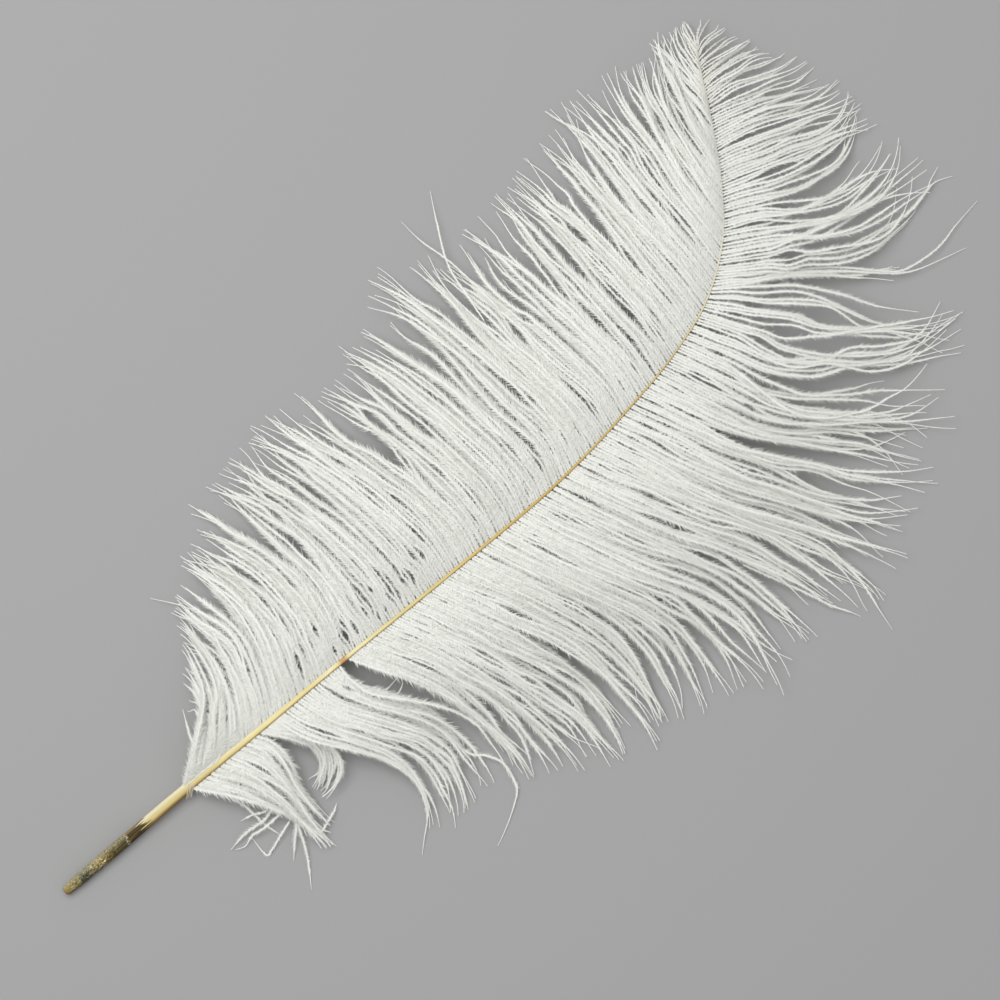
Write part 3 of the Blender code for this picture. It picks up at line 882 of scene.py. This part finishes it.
shaftColours = {
    # Along the shaft, in mm
    "keratin": [
        (0, (0.5, 0.38, 0.14)), (36, (0.52, 0.39, 0.12)), (48, (0.56, 0.43, 0.13)), (62, (0.7, 0.56, 0.21)),
        (84, (0.78, 0.67, 0.28)), (102, (0.75, 0.62, 0.24)), (109, (0.86, 0.78, 0.46)),
        (112.6, (0.8, 0.66, 0.3)), (113.3, (0.48, 0.18, 0.01)), (114.8, (0.44, 0.14, 0.005)),
        (115.7, (0.74, 0.54, 0.19)), (118, (0.84, 0.76, 0.44)), (126, (0.76, 0.67, 0.32)),
        (140, (0.66, 0.55, 0.2)), (165, (0.62, 0.46, 0.15)), (200, (0.56, 0.38, 0.08)),
        (235, (0.58, 0.43, 0.14)), (265, (0.66, 0.55, 0.3)), (290, (0.8, 0.76, 0.63)),
        (358, (0.86, 0.84, 0.76)),
    ],
    "sheath": [
        (0, (0.8, 0.66, 0.44)), (3.2, (0.8, 0.74, 0.52)), (4.8, (0.66, 0.64, 0.46)), (6, (0.24, 0.26, 0.22)),
        (7.4, (0.18, 0.22, 0.23)), (9, (0.3, 0.33, 0.33)), (11, (0.66, 0.62, 0.48)), (14, (0.88, 0.77, 0.5)),
        (16.5, (0.56, 0.46, 0.26)), (19, (0.22, 0.18, 0.07)), (25, (0.07, 0.058, 0.018)),
    ],
    # By how high the streaks, the crust and the flakes are
    "stain": [(0.36, (0.016, 0.009, 0.002)), (0.52, (0.038, 0.024, 0.005)), (0.64, (0.15, 0.11, 0.035))],
    "skin": [
        (0.3, (0.06, 0.052, 0.026)), (0.43, (0.18, 0.15, 0.07)), (0.53, (0.36, 0.31, 0.16)),
        (0.61, (0.62, 0.56, 0.37)), (0.72, (0.9, 0.87, 0.73)),
    ],
    "flakes": [(0.3, (0.2, 0.16, 0.08)), (0.7, (0.46, 0.41, 0.25)), (1, (0.8, 0.76, 0.6))],
}


def makeShaftMaterial(streaks):
    material, nodes, links, shader = newMaterial("shaft_keratin")
    grain = addNode(nodes, "ShaderNodeAttribute", attribute_name="grain")
    split = nodes.new("ShaderNodeSeparateXYZ")
    links.new(grain.outputs["Vector"], split.inputs["Vector"])
    up, over, along = (split.outputs[name] for name in ("X", "Y", "Z"))

    def spread(source, low, high, toLow=0, toHigh=1):
        return addSpread(nodes, links, source, low, high, toLow, toHigh)

    def mix(share, first, second, kind="MIX"):
        return addMix(nodes, links, share, first, second, kind)

    def reckon(operation, first, second):
        node = addNode(nodes, "ShaderNodeMath", operation=operation)
        links.new(first, node.inputs[0])
        links.new(second, node.inputs[1])
        return node.outputs["Value"]

    def both(first, second):
        return reckon("MULTIPLY", first, second)

    def alongRamp(length, stops):
        share = spread(along, 0, length, 0, 1)
        share.node.interpolation_type = "LINEAR"
        return addRamp(nodes, links, share, [(at / length, colour) for at, colour in stops], "LINEAR")

    # Golden keratin, paler along its top and on its left side low down, which is painted highlight, and
    # golden brown down its right side, which is partly its own colour and partly painted shade
    keratin = alongRamp(358.5, shaftColours["keratin"])
    streak, normal = useStreaks(nodes, streaks, 2.6, 0.16, 4, 0.25)
    keratin = mix(1, keratin, spread(streak, 0.32, 0.68, 0.82, 1.05), "MULTIPLY")
    # Painted highlight along the top, stronger below 110 mm
    top = both(spread(up, -0.95, -1.5), spread(along, 110, 190, 0.3, 0.1))
    keratin = mix(top, keratin, (0.93, 0.86, 0.54))
    # Painted highlight down the left side, fading out between 60 and 100 mm
    left = both(spread(over, -0.2, -1.2, 0, 0.75), spread(along, 60, 100, 1, 0))
    keratin = mix(left, keratin, (0.95, 0.9, 0.68))
    # Golden brown down the right side, partly the keratin's own colour and partly painted shade; none of it
    # past 290 mm
    upper = spread(along, 255, 290, 1, 0)
    right = both(spread(over, 0.35, 1.45, 0, 0.95), upper)
    keratin = mix(right, keratin, (0.24, 0.125, 0.014))
    upper = both(upper, spread(along, 88, 106))
    rim = both(spread(over, -1.15, -1.5, 0, 0.7), upper)
    keratin = mix(rim, keratin, (0.33, 0.17, 0.05))

    # Dark brown past the sheath, with the keratin running down into it in wedges
    stain, _ = useStreaks(nodes, streaks, 2.3, 0.045, 2, 0)
    wedge = reckon("ADD", stain, spread(along, 25, 38.5, -0.26, 0.26))
    fine, _ = useStreaks(nodes, streaks, 5, 0.06, 2, 0)
    brown = addRamp(nodes, links, fine, shaftColours["stain"])
    # Painted light: the stain is paler down its left side, as if lit through from the left
    brown = mix(spread(over, -0.55, -1.2, 0, 0.5), brown, (0.48, 0.37, 0.19))
    keratin = mix(spread(wedge, 0.47, 0.54), brown, keratin)

    # The sheath: flaky olive skin, grey and bluish low down, dark and smoother towards its pale rim
    crust, _ = useStreaks(nodes, streaks, 1.9, 1.6, 5, 1)
    skin = addRamp(nodes, links, crust, shaftColours["skin"], "LINEAR")
    sheath = mix(1, skin, alongRamp(26, shaftColours["sheath"]), "MULTIPLY")
    upper = spread(along, 18.5, 20.5)
    lines = both(spread(fine, 0.56, 0.64, 0, 0.6), upper)
    sheath = mix(lines, sheath, (0.24, 0.2, 0.09))
    sheath = mix(spread(along, 1.2, 3.2, 0.65, 0), sheath, (0.3, 0.235, 0.09))
    sheath = mix(spread(along, 0.1, 1.2, 0.6, 0), sheath, (0.26, 0.115, 0.035))
    flake = addNode(nodes, "ShaderNodeAttribute", attribute_name="flake")
    chip = addRamp(nodes, links, flake.outputs["Fac"], shaftColours["flakes"])
    sheath = mix(spread(flake.outputs["Fac"], 0.1, 0.25, 0, 0.9), sheath, chip)
    # Painted shade: the sheath is darker down its right side
    sheath = mix(spread(over, 0.6, 1.5, 0, 0.7), sheath, (0.09, 0.065, 0.025))
    # Painted light: its left side is paler, as if light from the left shone through the skin
    pale = both(spread(over, 0.1, -1.1, 0, 0.65), spread(crust, 0.35, 0.6, 0.45, 1))
    sheath = mix(pale, sheath, (0.5, 0.45, 0.27))
    ragged = reckon("ADD", along, spread(stain, 0.3, 0.7, -0.7, 0.7))
    broken = both(spread(ragged, 24.5, 25), spread(crust, 0.42, 0.6, 0.2, 0.85))
    sheath = mix(broken, sheath, (0.6, 0.55, 0.37))

    covered = spread(ragged, 25.2, 25.5, 1, 0)
    links.new(mix(covered, keratin, sheath), shader.inputs["Base Color"])
    glossy = spread(streak, 0.3, 0.7, 0.26, 0.44)
    dry = spread(crust, 0.3, 0.7, 0.5, 0.8)
    dull = spread(along, 28, 38, 1, 0)
    links.new(mix(covered, mix(dull, glossy, (0.6, 0.6, 0.6)), dry), shader.inputs["Roughness"])
    links.new(normal, shader.inputs["Normal"])
    shader.inputs["Specular IOR Level"].default_value = 0.2
    return material


ground = {"metres": 6, "colour": (0.36, 0.36, 0.36), "roughness": 0.9}


def makeFloor():
    bpy.ops.mesh.primitive_plane_add(size=ground["metres"])
    floor = bpy.context.object
    floor.name = "floor"
    material, _, _, shader = newMaterial("pale_floor")
    shader.inputs["Base Color"].default_value = (*ground["colour"], 1)
    shader.inputs["Roughness"].default_value = ground["roughness"]
    floor.data.materials.append(material)


view = {
    "centre": (5.5, 8.6, 6),  # mm in the frame, under the middle of the picture
    "distance": 1600,
    "width": 315,  # of the picture, at the plume
    "turn": -39.5,  # the picture's right, from the straight shaft
}


def makeCamera():
    data = bpy.data.cameras.new("camera")
    data.lens = data.sensor_width * view["distance"] / view["width"]
    camera = addObject("camera", data)
    camera.location = (Vector(view["centre"]) + Vector((0, 0, view["distance"]))) * mm
    camera.rotation_euler = (0, 0, math.radians(view["turn"]))
    bpy.context.scene.camera = camera


light = {
    "key": {"towards": 100, "height": 1.12, "away": 0.45, "size": 0.9, "watts": 11},
    "sky": (1, 1, 1), "skyStrength": 0.47,
}


def makeLights():
    key = light["key"]
    data = bpy.data.lights.new("soft_key", "AREA")
    data.size = key["size"]
    data.energy = key["watts"]
    lamp = addObject("soft_key", data)
    turn = math.radians(key["towards"])
    lamp.location = (math.cos(turn) * key["away"], math.sin(turn) * key["away"], key["height"])
    lamp.rotation_euler = (-lamp.location).to_track_quat("-Z", "Y").to_euler()
    world = bpy.data.worlds.new("studio")
    bpy.context.scene.world = world
    world.use_nodes = True
    background = world.node_tree.nodes["Background"]
    background.inputs["Color"].default_value = (*light["sky"], 1)
    background.inputs["Strength"].default_value = light["skyStrength"]
    bpy.context.scene.view_settings.view_transform = "Standard"


makeCamera()
makeLights()
makeFloor()
streakGroup = makeStreaks()
barbMaterial = makeBarbMaterial(streakGroup)
buildVane(leftVane, barbMaterial)
buildVane(rightVane, barbMaterial)
print("vanes built")
buildStrays(barbMaterial)
print("strays built")
buildShaft(makeShaftMaterial(streakGroup))
print("shaft built")
